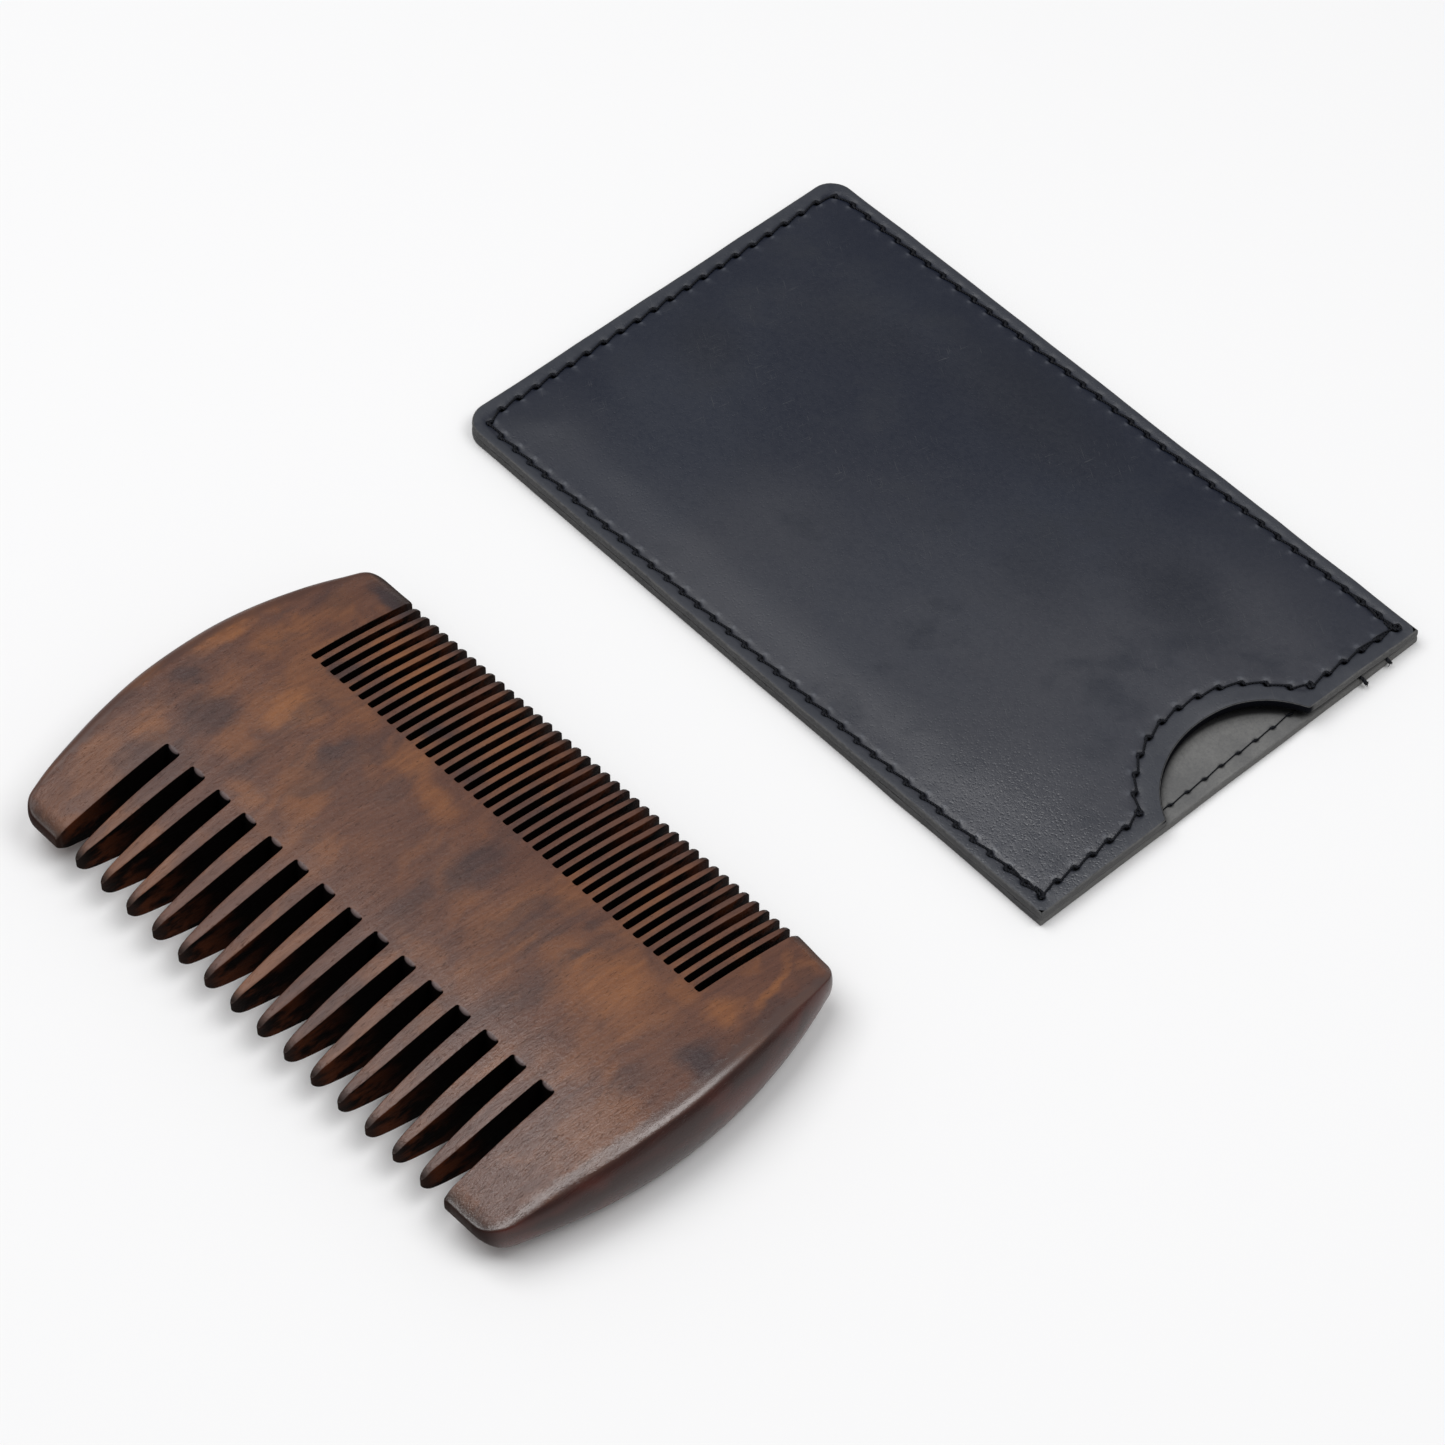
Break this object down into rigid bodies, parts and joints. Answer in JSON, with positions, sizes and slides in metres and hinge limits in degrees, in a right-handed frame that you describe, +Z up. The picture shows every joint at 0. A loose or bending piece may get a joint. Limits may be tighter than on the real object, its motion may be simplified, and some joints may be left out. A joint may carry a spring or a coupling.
{
  "type": "beard comb with sleeve",
  "caption": "Flat double-sided wooden beard comb, coarse teeth on one edge and fine teeth on the other, lying beside its thin stitched leather slip sleeve with a thumb notch.",
  "frame": {"origin": "centre of the comb's flat resting face, on the surface that the comb and sleeve lie on", "axes": "+X along the comb towards the sleeve's open mouth, +Y from the coarse teeth to the fine teeth and on to the sleeve, +Z up"},
  "size_m": [0.1027, 0.1388, 0.0096],
  "materials": {
    "comb_wood": "dark stained hardwood, sanded smooth and oiled to a satin",
    "sleeve_leather": "smooth dark blue-grey leather, fine grain, soft sheen",
    "thread": "near-black waxed sewing thread"
  },
  "bodies": {
    "sleeve": {"sleeve_back_panel": "sleeve_leather", "sleeve_front_panel": "sleeve_leather", "side_seam_front_thread": "thread", "side_seam_back_thread": "thread", "front_mouth_outer_thread": "thread", "front_mouth_inner_thread": "thread", "back_mouth_inner_thread": "thread", "back_mouth_outer_thread": "thread"},
    "comb": {"comb_body": "comb_wood"}
  },
  "joints": [
    {"name": "comb_lift_off", "type": "slide", "parent": "sleeve", "child": "comb", "axis": [0, 0, 1], "range_m": [0, 0.06]}
  ]
}
